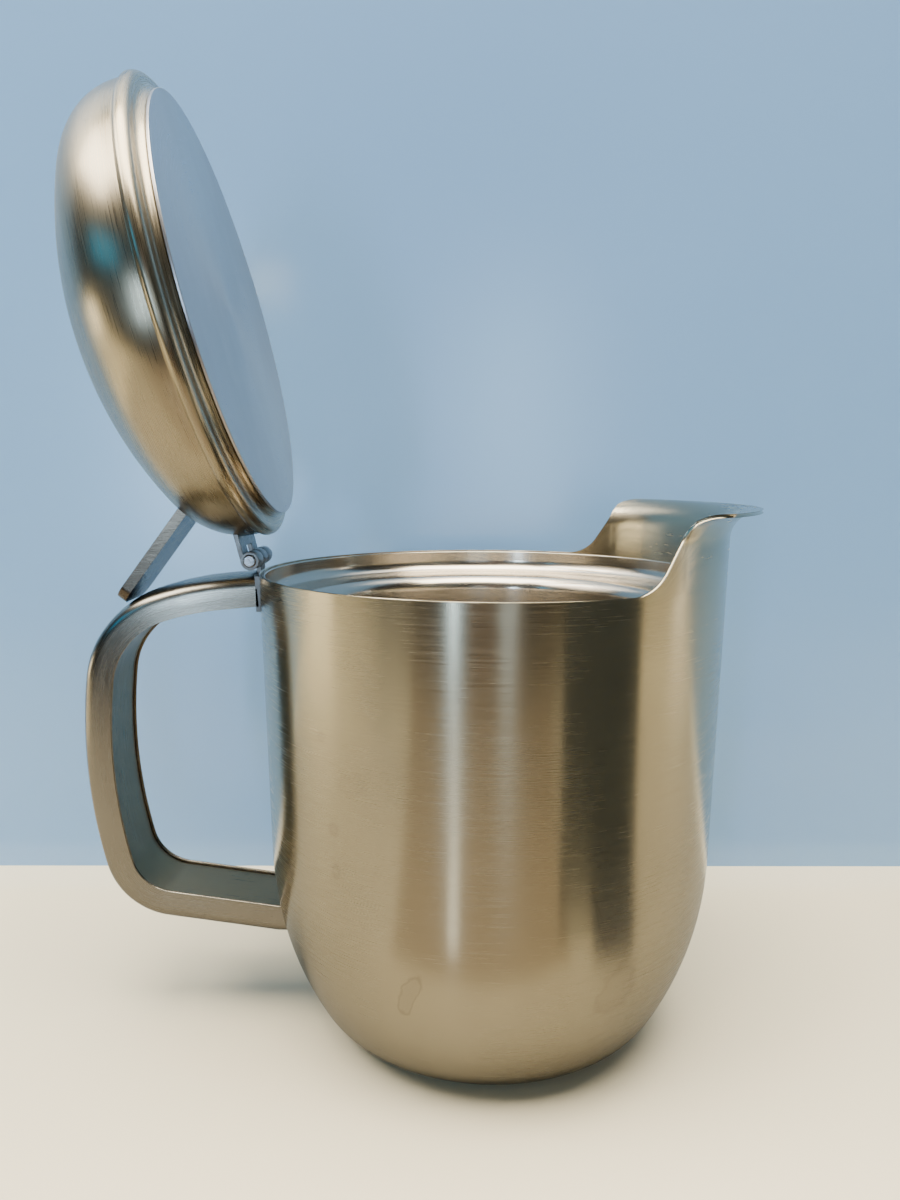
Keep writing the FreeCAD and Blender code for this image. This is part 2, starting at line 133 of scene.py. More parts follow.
class JugFinish(bpy.types.PropertyGroup):
    # painted warm light: the steel, lid and liner colours are warmer and darker than plain stainless steel, to
    # carry the warm light from the table and lamps
    steel: base_colour("Steel", "Base colour of the brushed steel", (0.40, 0.35, 0.245))
    lid_steel: base_colour("Lid steel", "Base colour of the lid", (0.36, 0.305, 0.21))
    liner_steel: base_colour("Liner steel", "Base colour of the liner", (0.50, 0.45, 0.37))
    # painted shade: the handle's channel and its inner strip are darker copies of the same steel
    handle_steel: base_colour("Handle steel", "Base colour of the handle's channel", (0.25, 0.225, 0.18))
    shaded_inlay_steel: base_colour("Inlay steel", "Base colour of the handle's inner strip", (0.22, 0.165, 0.085))
    # painted shade: the thumb lever is a much darker copy of the same steel
    shaded_lever_steel: base_colour("Lever steel", "Base colour of the thumb lever", (0.10, 0.08, 0.06))
    roughness: FloatProperty(
        name="Roughness", description="Roughness of the brushed steel", default=0.21, min=0, max=1)


# ---------------------------------------------------------------- outlines

EDGE_REACH = 0.7    # how far a rounded edge stands out, in half thicknesses of its sheet


class Outline:
    """A chain of tangent lines and arcs in the (radius, height) plane, in metres."""

    STEP = math.radians(5)
    SUPPORT = 0.12 * MM

    def __init__(self, x, z, heading):
        self.points = [(x, z)]
        self.heading = heading

    @property
    def end(self):
        """The last point."""
        return self.points[-1]

    def ahead(self, length):
        """A point straight on from the end."""
        x, z = self.end
        return (x + length * math.cos(self.heading), z + length * math.sin(self.heading))

    def line(self, length, pieces=1):
        """A line, with a support point close to each end if it is long enough."""
        stops = []
        if length > 4 * self.SUPPORT:
            stops = [self.SUPPORT] + [length * i / pieces for i in range(1, pieces)] + [length - self.SUPPORT]
        self.points += [self.ahead(stop) for stop in stops + [length]]
        return self

    def to_x(self, x, pieces=1):
        """A line as far as a radius."""
        return self.line((x - self.end[0]) / math.cos(self.heading), pieces)

    def to_z(self, z, pieces=1):
        """A line as far as a height."""
        return self.line((z - self.end[1]) / math.sin(self.heading), pieces)

    def arc(self, radius, turn, step=None):
        """A tangent arc. A positive turn goes to the left."""
        side = math.copysign(1, turn)
        x, z = self.end
        cx = x - side * radius * math.sin(self.heading)
        cz = z + side * radius * math.cos(self.heading)
        count = max(2, math.ceil(abs(turn) / (step or self.STEP)))
        for i in range(1, count + 1):
            heading = self.heading + turn * i / count
            self.points.append((cx + side * radius * math.sin(heading), cz - side * radius * math.cos(heading)))
        self.heading += turn
        return self


def rounded_end(face, back, steps=5):
    """Points of a rounded edge from the end of one face of a sheet to the end of the other."""
    (ax, az), (bx, bz) = face, back
    mx, mz = (ax + bx) / 2, (az + bz) / 2
    hx, hz = (ax - bx) / 2, (az - bz) / 2
    turns = [math.pi * i / steps for i in range(1, steps)]
    return [(mx + hx * math.cos(t) + hz * math.sin(t) * EDGE_REACH,
             mz + hz * math.cos(t) - hx * math.sin(t) * EDGE_REACH) for t in turns]


def distances(points):
    """How far along a chain each of its points lies."""
    return np.concatenate([[0], np.cumsum(np.linalg.norm(np.diff(points, axis=0), axis=1))])


# ---------------------------------------------------------------- meshes

def new_piece(name, vertices, faces, uvs):
    """A mesh object with smooth faces that point outwards, and a brush map."""
    mesh = bpy.data.meshes.new(name)
    mesh.from_pydata(vertices, [], faces)
    layer = mesh.uv_layers.new(name=BRUSH_MAP)
    layer.data.foreach_set("uv", np.array(uvs, np.float32).ravel())
    mesh.polygons.foreach_set("use_smooth", [True] * len(mesh.polygons))
    mesh.set_sharp_from_angle(angle=SHARP_ANGLE)
    mesh.update()
    if volume(mesh) < 0:
        mesh.flip_normals()
    piece = bpy.data.objects.new(name, mesh)
    bpy.context.scene.collection.objects.link(piece)
    return piece


def volume(mesh):
    """Six times the volume that a mesh encloses, negative if its faces point inwards."""
    mesh.calc_loop_triangles()
    co = np.array([v.co for v in mesh.vertices])
    tri = np.array([t.vertices for t in mesh.loop_triangles])
    a, b, c = co[tri[:, 0]], co[tri[:, 1]], co[tri[:, 2]]
    return float(np.einsum("ij,ij->i", a, np.cross(b, c)).sum())


def lathe(name, outline, angles, closed):
    """Turn an outline round the axis, with a brush map that runs round it.

    outline(angle) gives the points in the (radius, height) plane, the same number at every angle. A closed
    outline is a ring's section. An open one starts and ends on the axis, where it is closed with a pole.
    """
    columns = [outline(angle) for angle in angles]
    rows = len(columns[0])
    count = len(angles)
    first, last = (0, rows) if closed else (1, rows - 1)
    width = last - first
    vertices = []
    for angle, column in zip(angles, columns):
        vertices += [(r * math.cos(angle), r * math.sin(angle), z) for r, z in column[first:last]]
    reach = np.array(columns[0])
    along = distances(reach)
    wide = max(r for r, z in columns[0])
    faces, uvs = [], []
    for i in range(count):
        j = (i + 1) % count
        u = angles[i] * wide
        v = (angles[j] if j else angles[0] + 2 * math.pi) * wide
        for k in range(width if closed else width - 1):
            m = (k + 1) % width
            faces.append((i * width + k, j * width + k, j * width + m, i * width + m))
            low, high = along[first + k], along[first + k] + np.linalg.norm(reach[first + k] - reach[first + m])
            uvs += [(u, low), (v, low), (v, high), (u, high)]
    if not closed:
        for row, near in ((0, 0), (rows - 1, width - 1)):
            pole = len(vertices)
            vertices.append((0, 0, columns[0][row][1]))
            for i in range(count):
                j = (i + 1) % count
                ring = (i * width + near, j * width + near)
                faces.append((ring[0], pole, ring[1]) if row else (ring[1], pole, ring[0]))
                u, v = angles[i] * wide, (angles[j] if j else angles[0] + 2 * math.pi) * wide
                edge, tip = along[first + near], along[row]
                loop = [(u, edge), ((u + v) / 2, tip), (v, edge)]
                uvs += loop if row else loop[::-1]
    return new_piece(name, vertices, faces, uvs)


def around(count):
    """Equal angles round the axis."""
    return [2 * math.pi * i / count for i in range(count)]


def open_lid(piece):
    """Swing a lid piece that was drawn closed, about the pin."""
    turn = Matrix.Translation(PIN) @ Matrix.Rotation(-OPEN_ANGLE, 4, "Y") @ Matrix.Translation(-PIN)
    piece.data.transform(turn)
    piece.data.update()
    return piece


WELD_DISTANCE = 0.002 * MM
FLAT_ANGLE = math.radians(0.5)
BEVEL_ANGLE = math.radians(30)


def bevelled_copy(name, node, width, segments=3):
    """A copy of a CAD node with its sharp edges rounded over."""
    mesh = frame["nodes"][node].data.copy()
    piece = bpy.data.objects.new(name, mesh)
    bpy.context.scene.collection.objects.link(piece)
    weld = piece.modifiers.new("weld", "WELD")
    weld.merge_threshold = WELD_DISTANCE
    flat = piece.modifiers.new("flat", "DECIMATE")
    flat.decimate_type = "DISSOLVE"
    flat.angle_limit = FLAT_ANGLE
    bevel = piece.modifiers.new("bevel", "BEVEL")
    bevel.width = width
    bevel.segments = segments
    bevel.limit_method = "ANGLE"
    bevel.angle_limit = BEVEL_ANGLE
    bevel.harden_normals = True
    finished = bpy.data.meshes.new_from_object(piece.evaluated_get(bpy.context.evaluated_depsgraph_get()))
    piece.modifiers.clear()
    piece.data = finished
    finished.name = name
    finished.materials.clear()
    for layer in list(finished.uv_layers):
        finished.uv_layers.remove(layer)
    return piece


def settle(piece, material, body, slot, *nodes):
    """Give a finished piece its material and body, and hide the CAD nodes that it stands for. The slot is not
    used.
    """
    piece.data.materials.clear()
    piece.data.materials.append(material)
    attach(piece, body)
    if nodes:
        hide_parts(*nodes)
    return piece


# ---------------------------------------------------------------- materials

STAIN_COLOUR = (0.23, 0.19, 0.14)
NOISE_LOW, NOISE_HIGH = 0.3, 0.7    # most of a noise's values lie between these


class Tree:
    """Short calls for building a material's nodes."""

    def __init__(self, name):
        self.material = bpy.data.materials.new(name)
        self.material.use_nodes = True
        self.nodes = self.material.node_tree.nodes
        self.links = self.material.node_tree.links
        self.shader = self.nodes["Principled BSDF"]

    def node(self, kind, inputs=None, **settings):
        """A new node. An input is a constant or the socket that feeds it."""
        node = self.nodes.new(kind)
        for key, value in settings.items():
            setattr(node, key, value)
        for key, value in (inputs or {}).items():
            if isinstance(value, bpy.types.NodeSocket):
                self.links.new(value, node.inputs[key])
            else:
                node.inputs[key].default_value = value
        return node

    def mapped(self, source, scale):
        """Coordinates times a scale, in waves per metre."""
        mapping = self.node("ShaderNodeMapping", {"Vector": source})
        mapping.inputs["Scale"].default_value = scale
        return mapping.outputs["Vector"]

    def noise(self, vector, detail=2.0, roughness=0.5):
        """Noise of one wave per unit of its coordinates."""
        return self.node("ShaderNodeTexNoise", {"Vector": vector, "Scale": 1.0, "Detail": detail,
                                                "Roughness": roughness}).outputs["Fac"]

    def remap(self, value, low, high, to_low, to_high):
        """A value's range moved to another range, and kept within it."""
        return self.node("ShaderNodeMapRange", {"Value": value, "From Min": low, "From Max": high,
                                                "To Min": to_low, "To Max": to_high}).outputs["Result"]

    def spread(self, noise, low, high):
        """Noise moved to a range from low to high."""
        return self.remap(noise, NOISE_LOW, NOISE_HIGH, low, high)

    def math(self, operation, a, b):
        """Two values joined by an operation."""
        return self.node("ShaderNodeMath", {0: a, 1: b}, operation=operation).outputs["Value"]

    def paint(self, socket, colour):
        """Feed a colour socket from another socket or from three numbers."""
        if isinstance(colour, bpy.types.NodeSocket):
            self.links.new(colour, socket)
        else:
            socket.default_value = (*colour, 1)

    def mix(self, a, b, blend_type="MIX"):
        """A colour mix of two colours. In a Mix node, sockets 6 and 7 are its colours A and B."""
        mix = self.node("ShaderNodeMix", data_type="RGBA", blend_type=blend_type)
        self.paint(mix.inputs[6], a)
        self.paint(mix.inputs[7], b)
        return mix

    def tint(self, colour, factor):
        """The colour multiplied by a grey factor round 1."""
        mix = self.mix(colour, factor, "MULTIPLY")
        mix.inputs[0].default_value = 1.0
        return mix.outputs[2]

    def blend(self, factor, a, b):
        """From one colour to another as the factor goes from 0 to 1."""
        mix = self.mix(a, b)
        self.links.new(factor, mix.inputs[0])
        return mix.outputs[2]


def brushed_steel(name, colour, roughness, along=80.0, across=6500.0, depth=0.014, anisotropy=0.8,
                  use_map=True, stains=()):
    """Satin steel brushed along the brush map's first direction, with fine lines, faint smears and stains.

    Along and across are the lines' waves per metre. Without the map they run along the object's X axis.
    """
    grain = 0.06
    tree = Tree(name)
    place = tree.node("ShaderNodeTexCoord").outputs["Object"]
    lines_on = tree.node("ShaderNodeUVMap", uv_map=BRUSH_MAP).outputs["UV"] if use_map else place
    stretch = (along, across, 1 if use_map else across)
    fine = tree.noise(tree.mapped(lines_on, stretch), detail=3.0, roughness=0.65)
    broad = tree.noise(tree.mapped(lines_on, tuple(s * 0.24 for s in stretch)), detail=2.0)
    lines = tree.math("ADD", tree.math("MULTIPLY", fine, 0.85), tree.math("MULTIPLY", broad, 0.15))
    smear = tree.noise(tree.mapped(place, (38, 38, 24)), detail=3.0, roughness=0.6)
    tone = tree.tint(colour, tree.spread(lines, 1 - grain, 1 + grain * 0.6))
    tone = tree.tint(tone, tree.remap(smear, 0.35, 0.7, 1.03, 0.93))
    rough = tree.math("ADD", tree.spread(lines, roughness - 0.05, roughness + 0.07),
                      tree.remap(smear, 0.4, 0.75, 0.0, 0.06))
    for mark, dark in stains:
        tone = tree.blend(tree.math("MULTIPLY", mark(tree, place), dark), tone, STAIN_COLOUR)
    tree.links.new(tone, tree.shader.inputs["Base Color"])
    tree.links.new(rough, tree.shader.inputs["Roughness"])
    bump = tree.node("ShaderNodeBump", {"Height": lines, "Strength": depth, "Distance": 0.03 * MM})
    tree.links.new(bump.outputs["Normal"], tree.shader.inputs["Normal"])
    tree.shader.inputs["Metallic"].default_value = 1.0
    if use_map:
        tangent = tree.node("ShaderNodeTangent", direction_type="UV_MAP", uv_map=BRUSH_MAP)
        tree.links.new(tangent.outputs["Tangent"], tree.shader.inputs["Tangent"])
        tree.shader.inputs["Anisotropic"].default_value = anisotropy
        tree.shader.inputs["Anisotropic Rotation"].default_value = 0.25
    return tree.material


def plain_metal(name, colour, roughness):
    """Turned or cut metal with a fine random grain."""
    tree = Tree(name)
    place = tree.node("ShaderNodeTexCoord").outputs["Object"]
    grain = tree.noise(tree.mapped(place, (900, 900, 900)), detail=3.0)
    patch = tree.noise(tree.mapped(place, (90, 90, 90)), detail=2.0)
    tone = tree.tint(colour, tree.spread(patch, 0.86, 1.05))
    tree.links.new(tone, tree.shader.inputs["Base Color"])
    tree.links.new(tree.spread(grain, roughness - 0.06, roughness + 0.08), tree.shader.inputs["Roughness"])
    bump = tree.node("ShaderNodeBump", {"Height": grain, "Strength": 0.12, "Distance": 0.02 * MM})
    tree.links.new(bump.outputs["Normal"], tree.shader.inputs["Normal"])
    tree.shader.inputs["Metallic"].default_value = 1.0
    return tree.material


def drop_mark(centre, size, turn, ring):
    """A dried drop on the wall: an oval outline, ring wide, round a centre on the surface."""

    def mark(tree, place):
        at = tree.node("ShaderNodeMapping", {"Vector": place}, vector_type="TEXTURE")
        at.inputs["Location"].default_value = centre
        at.inputs["Rotation"].default_value = (0, turn, 0)
        at.inputs["Scale"].default_value = size
        wobble = tree.noise(tree.mapped(place, (260, 260, 260)), detail=2.0)
        length = tree.node("ShaderNodeVectorMath", {0: at.outputs["Vector"]}, operation="LENGTH")
        reach = tree.math("ADD", length.outputs["Value"], tree.spread(wobble, -0.22, 0.22))
        edge = tree.math("ABSOLUTE", tree.math("SUBTRACT", reach, 0.8), 0.0)
        outline = tree.remap(edge, 0.0, ring, 1.0, 0.0)
        inside = tree.remap(reach, 0.6, 0.95, 0.35, 0.0)
        return tree.math("MAXIMUM", outline, inside)

    return mark


# ---------------------------------------------------------------- outer shell

# dried marks on the wall: centre and half sizes in mm, lean in degrees, half width of the outline as a share of
# the half sizes, strength
DRIED_DROPS = (
    ((-16.6, -43.9, 27.0), (1.9, 8.0, 6.4), 18, 0.16, 0.55),
    ((22.4, -40.6, 26.4), (4.0, 9.0, 6.6), 30, 0.20, 0.42),
    ((18.3, -45.0, 42.4), (0.42, 5.0, 6.6), -14, 0.6, 0.50),
    ((20.8, -43.6, 39.4), (0.9, 4.0, 1.5), 0, 0.5, 0.45),
    ((-30.9, -37.9, 57.0), (0.9, 3.0, 1.3), 0, 0.6, 0.40),
    ((-30.5, -37.9, 48.8), (0.8, 3.0, 1.3), 0, 0.6, 0.36),
    ((-33.1, -36.5, 74.4), (0.7, 3.0, 0.9), 0, 0.6, 0.32),
    ((-27.5, -41.0, 66.5), (3.4, 5.0, 2.2), -20, 0.25, 0.16),
)
SEAL_HOLE = 2.5 * MM        # radius of the hole that the braze plug closes
SEAL_FLAT = 9 * MM          # radius of the flat round the hole
SEAL_LIFT = 1.7 * MM        # that flat above the foot
SEAL_STEP = 0.9 * MM        # step down from it to the disc's seat
DISC_STEP = 0.8 * MM        # step down from the seat to the foot
BASE_GAP = 0.4 * MM         # from the end of the foot's face to the wall's first point
JOGGLE_RADIUS = 0.8 * MM
JOGGLE_SLOPE = math.radians(45)
WALL_STEP = math.radians(2.5)
COLLAR_STEP = math.radians(3)
OVERRUN = 2 * MM            # the wall's section past the lip, cut off by it
RIM_MARGIN = 0.01 * MM
FLARE_START = 0.36 * MM     # the lip's outline cuts only what stands this far out from the rim
CUT_ROWS = 26


def dried_drops():
    """Each mark's mask with its strength."""
    marks = []
    for centre, size, lean, ring, dark in DRIED_DROPS:
        centre, size = (tuple(v * MM for v in values) for values in (centre, size))
        marks.append((drop_mark(centre, size, math.radians(lean), ring), dark))
    return marks


def shell_wall(s, inset):
    """One face of the outer sheet from the base to above the lip, with the inset measured inwards."""
    upright = math.pi / 2 - s.wall_lean
    start = Outline(0, 0, 0).arc(s.corner_radius, upright - s.flank_turn).arc(s.flank_radius, s.flank_turn)
    base_radius = s.rim_radius - start.end[0] - (RIM_HEIGHT - start.end[1]) * math.tan(s.wall_lean)
    lip_under = SHELL_HIGH.z - s.sheet
    wall = Outline(base_radius, inset, 0)
    wall.arc(s.corner_radius - inset, upright - s.flank_turn, WALL_STEP)
    wall.arc(s.flank_radius - inset, s.flank_turn, WALL_STEP)
    curl_rise = Outline(0, 0, upright).arc(s.lip_curl + inset, -upright).end[1]
    wall.to_z(lip_under + inset - curl_rise, pieces=24)
    wall.arc(s.lip_curl + inset, -upright, WALL_STEP)
    return wall.to_x(s.rim_radius + s.lip_reach + OVERRUN, pieces=6).points


def climbing_edge(s):
    """The collar's edge in side view, from the rim to above the lip."""
    bends = Outline(0, 0, 0).arc(s.collar_bend, s.collar_climb).arc(s.collar_bend, -s.collar_climb).end
    rise = SHELL_HIGH.z - RIM_HEIGHT + 0.6 * MM
    climb = (rise - bends[1]) / math.sin(s.collar_climb)
    middle = math.sqrt(s.rim_radius ** 2 - s.lip_half_width ** 2)
    foot = middle - (bends[0] + climb * math.cos(s.collar_climb)) / 2
    edge = Outline(foot, RIM_HEIGHT, 0).arc(s.collar_bend, s.collar_climb, COLLAR_STEP)
    return edge.line(climb).arc(s.collar_bend, -s.collar_climb, COLLAR_STEP).points


def outside_lip(s, x, y):
    """How far a point lies outside the lip's rounded outline in plan view."""
    lip = s.rim_radius + s.lip_reach
    inner = s.lip_half_width - s.lip_corner
    corner_x = math.sqrt((lip - s.lip_corner) ** 2 - inner ** 2)
    y = abs(y)
    if y > inner and x * inner < y * corner_x and x > corner_x:
        return math.hypot(x - corner_x, y - inner) - s.lip_corner
    if y > inner and x <= corner_x:
        return y - s.lip_half_width
    return math.hypot(x, y) - lip


def cut_length(s, angle, edge, points, along):
    """How far along the wall the sheet reaches at an angle, in the same units as along."""
    edge_x, edge_z = zip(*edge)
    cosine, sine = math.cos(angle), math.sin(angle)

    def beyond(length):
        """Above 0 where the sheet has been cut away."""
        r = np.interp(length, along, points[:, 0])
        z = np.interp(length, along, points[:, 1])
        x, y = r * cosine, r * sine
        over = z - np.interp(x, edge_x, edge_z)
        above = z > RIM_HEIGHT + RIM_MARGIN
        flare = r > s.rim_radius + FLARE_START
        aside = outside_lip(s, x, y) if above and flare else -1.0
        return max(over, aside)

    low = np.interp(RIM_HEIGHT - 1 * MM, points[:, 1], along)
    steps = np.linspace(low, along[-1], 240)
    for a, b in zip(steps, steps[1:]):
        if beyond(b) > 0:
            for _ in range(18):
                middle = (a + b) / 2
                a, b = (a, middle) if beyond(middle) > 0 else (middle, b)
            return a
    return along[-1]


def shell_angles(s):
    """Angles round the wall, closer together where the collar's edge climbs."""
    dense_from, dense_to = math.radians(24), math.radians(66)
    half = []
    angle = 0.0
    while angle < math.pi:
        half.append(angle)
        dense = dense_from < angle < dense_to
        angle += 2 * math.pi / s.columns / (3 if dense else 1)
    return [-a for a in reversed(half[1:])] + half + [math.pi]


def shell_outline(s):
    """The function that gives the sheet's closed section at an angle."""
    outer = np.array(shell_wall(s, 0.0))
    inner = np.array(shell_wall(s, s.sheet))
    outer_along = distances(outer)
    inner_along = np.interp(np.linspace(0, 1, len(inner)), np.linspace(0, 1, len(outer)), outer_along)
    edge = climbing_edge(s)
    fixed = np.interp(RIM_HEIGHT - 2 * MM, outer[:, 1], outer_along)
    low_rows = [a for a in outer_along if a < fixed - 0.2 * MM]

    def base_face(inset):
        path = Outline(SEAL_HOLE, SHELL_LOW.z + SEAL_LIFT + inset, 0).to_x(SEAL_FLAT)
        joggle(path, SEAL_STEP, inset)
        path.to_x(s.recess_radius)
        joggle(path, DISC_STEP, inset)
        return path.to_x(outer[0][0] - BASE_GAP).points

    def on_face(points, along, lengths):
        radii, heights = (np.interp(lengths, along, points[:, i]) for i in (0, 1))
        return [(float(r), float(z)) for r, z in zip(radii, heights)]

    base_outer = base_face(0.0)
    base_inner = base_face(s.sheet)

    def outline(angle):
        reach = cut_length(s, angle, edge, outer, outer_along)
        rows = np.concatenate([low_rows, fixed + (reach - fixed) * np.linspace(0, 1, CUT_ROWS) ** 0.9])
        face = on_face(outer, outer_along, rows)
        back = on_face(inner, inner_along, rows)
        return base_outer + face + rounded_end(face[-1], back[-1]) + back[::-1] + base_inner[::-1]

    return outline


def joggle(path, drop, inset):
    """A slanted step down in the base sheet."""
    run = (drop - 2 * JOGGLE_RADIUS * (1 - math.cos(JOGGLE_SLOPE))) / math.sin(JOGGLE_SLOPE)
    step = math.radians(9)
    path.arc(JOGGLE_RADIUS + inset, -JOGGLE_SLOPE, step).line(run)
    path.arc(JOGGLE_RADIUS - inset, JOGGLE_SLOPE, step)


class JUG_OT_shell(bpy.types.Operator):
    """Build the outer shell with its spout collar"""
    bl_idname = "jug.shell"
    bl_label = "Outer Shell"

    def execute(self, context):
        s = context.scene.jug_shell
        finish = context.scene.jug_finish
        shell = lathe("body_shell", shell_outline(s), shell_angles(s), closed=True)
        steel = brushed_steel("shell_brushed_steel", finish.steel, finish.roughness, stains=dried_drops())
        settle(shell, steel, "body", "shell_steel", "outer_shell")
        return {"FINISHED"}


# ---------------------------------------------------------------- liner

LINER_SHEET = 0.5 * MM
LINER_DROP = 0.45 * MM              # the liner's face starts below its rounded edge
SHELF_DEPTH = 2.6 * MM              # straight fall from the rim to the shelf's bend
SHELF_BEND = 3.5 * MM
SHELF_WIDTH = 3.2 * MM
SHELF_SLOPE = math.radians(12)
LINER_BEND = 3.0 * MM               # from the shelf into the wall
LINER_TAPER = math.radians(2)
LINER_CORNER = 22 * MM
LINER_FLOOR = 8.0 * MM


def liner_outline(s):
    """Section of the liner, both faces, from the middle of the floor over the rim and back."""
    right = math.pi / 2

    def one_face(inset):
        x = s.rim_radius - s.sheet / math.cos(s.wall_lean) - inset - LINER_DROP * math.tan(s.wall_lean)
        path = Outline(x, RIM_HEIGHT - LINER_DROP, 3 * right - s.wall_lean).line(SHELF_DEPTH - LINER_DROP)
        path.arc(SHELF_BEND - inset, SHELF_SLOPE + s.wall_lean - right).line(SHELF_WIDTH)
        path.arc(LINER_BEND + inset, right - SHELF_SLOPE - LINER_TAPER)
        corner = LINER_CORNER - inset
        fall = Outline(0, 0, path.heading).arc(corner, LINER_TAPER - right).end[1]
        path.to_z(LINER_FLOOR + inset - fall, pieces=8).arc(corner, LINER_TAPER - right).to_x(0, pieces=3)
        return path.points

    back = one_face(0.0)
    face = one_face(LINER_SHEET)
    return face[::-1] + rounded_end(face[0], back[0]) + back


class JUG_OT_liner(bpy.types.Operator):
    """Build the inner vessel"""
    bl_idname = "jug.liner"
    bl_label = "Liner"

    def execute(self, context):
        s = context.scene.jug_shell
        section = liner_outline(s)
        liner = lathe("liner", lambda angle: section, around(s.columns), closed=False)
        steel = brushed_steel("liner_satin_steel", context.scene.jug_finish.liner_steel, 0.18, anisotropy=0.6)
        settle(liner, steel, "body", "liner_steel", "inner_vessel")
        return {"FINISHED"}


# ---------------------------------------------------------------- base

COVER_EDGE = 0.2 * MM
COVER_RIM = 0.05 * MM


class JUG_OT_base(bpy.types.Operator):
    """Build the base disc and give the pieces of the vacuum seal their finishes"""
    bl_idname = "jug.base"
    bl_label = "Base"

    def execute(self, context):
        low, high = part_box("base_disc")
        path = Outline(0, low.z, 0).to_x(high.x - COVER_EDGE, pieces=4).arc(COVER_EDGE, math.pi / 2)
        path.to_z(high.z - COVER_RIM)
        points = path.points + [(high.x - COVER_RIM, high.z), (0, high.z)]
        disc = lathe("base_cover", lambda angle: points, around(128), closed=False)
        steel = brushed_steel("base_turned_steel", (0.52, 0.51, 0.49), 0.3, depth=0.2)
        settle(disc, steel, "body", "base_steel", "base_disc")
        finish_node("vacuum_seal", plain_metal("dull_braze", (0.52, 0.42, 0.27), 0.45))
        finish_node("getter", plain_metal("getter_metal", (0.2, 0.2, 0.21), 0.6))
        return {"FINISHED"}


def finish_node(node, material):
    """Put a material on every slot of a CAD node."""
    materials = frame["nodes"][node].data.materials
    if not materials:
        materials.append(material)
    for i in range(len(materials)):
        materials[i] = material


# ---------------------------------------------------------------- handle

HANDLE_BENDS = ((60.5, 13.3), (15.9, 64.5), (108.8, 21.1), (10.0, 67.7))   # radius in mm, turn in degrees
HANDLE_HEADING = 185.2       # degrees
HANDLE_DROP = 7.0 * MM       # the finger side's upper end below the rim
HANDLE_FIRST_RUN = 6.8 * MM
HANDLE_SINK = 0.55 * MM      # how far the upper end reaches into the wall
HANDLE_FOOT = 0.4 * MM       # how far the lower end reaches into the wall
HANDLE_LAST_X = -46 * MM
TIGHT_RADIUS = 20            # mm, bends tighter than this get longer steps
STRIP_SHEET = 0.7 * MM
STRIP_EDGE = 0.18 * MM


def handle_path(s):
    """Points of the finger side from the upper foot to the lower foot, in side view."""
    heading = math.radians(HANDLE_HEADING)
    rise = HANDLE_SINK * math.tan(heading)
    path = Outline(-s.rim_radius + HANDLE_SINK, RIM_HEIGHT - HANDLE_DROP + rise, heading)
    path.line(HANDLE_FIRST_RUN - HANDLE_SINK / math.cos(heading), pieces=3)
    for radius, turn in HANDLE_BENDS:
        path.arc(radius * MM, math.radians(turn), math.radians(2.2 if radius < TIGHT_RADIUS else 1.2))
    return path.to_x(HANDLE_LAST_X, pieces=8).points


def arched_outline(h, inset):
    """Outline of the channel from lip to lip, moved in by the inset: points (across, out)."""
    half = h.width / 2
    crown = (half ** 2 + h.crown ** 2) / (2 * h.crown)
    centre = h.depth - crown
    edge_y = half - h.edge_radius
    edge_w = centre + math.sqrt((crown - h.edge_radius) ** 2 - edge_y ** 2)
    lean = math.atan2(edge_y, edge_w - centre)
    radius = h.edge_radius - inset
    side = [(half - inset, 0.0), (half - inset, 0.15 * MM), (half - inset, edge_w / 2)]
    turn = np.linspace(math.pi / 2, lean, 7)
    side += [(edge_y + radius * math.sin(t), edge_w + radius * math.cos(t)) for t in turn]
    back = np.linspace(lean, 0, 9)[1:]
    side += [((crown - inset) * math.sin(t), centre + (crown - inset) * math.cos(t)) for t in back]
    return side + [(-y, w) for y, w in reversed(side[:-1])]


def channel_section(h):
    """Section of the handle's folded sheet, open on the finger side."""
    outer = arched_outline(h, 0.0)
    inner = arched_outline(h, h.sheet)
    return outer + rounded_end(outer[-1], inner[-1]) + inner[::-1] + rounded_end(inner[0], outer[0])


def strip_section(h):
    """Section of the flat inlay, rounded at the edges of the finger side."""
    half = h.width / 2 - h.sheet - h.seam
    edge = STRIP_EDGE
    turn = np.linspace(0, math.pi / 2, 4)
    corner = [(half - edge + edge * math.cos(t), edge * (1 - math.sin(t))) for t in turn]
    side = corner + [(half - 0.6 * MM, 0), (half / 2, 0), (0, 0)]
    under = [(y, h.recess + w) for y, w in side] + [(-y, h.recess + w) for y, w in reversed(side[:-1])]
    top = h.recess + STRIP_SHEET
    return under + [(-half, top), (half, top)]


def curve_object(name, points, closed):
    """A straight-sided curve through points."""
    curve = bpy.data.curves.new(name, "CURVE")
    curve.dimensions = "3D"
    spline = curve.splines.new("POLY")
    spline.points.add(len(points) - 1)
    for point, place in zip(spline.points, points):
        point.co = (*place, 1)
    spline.use_cyclic_u = closed
    piece = bpy.data.objects.new(name, curve)
    bpy.context.scene.collection.objects.link(piece)
    return piece


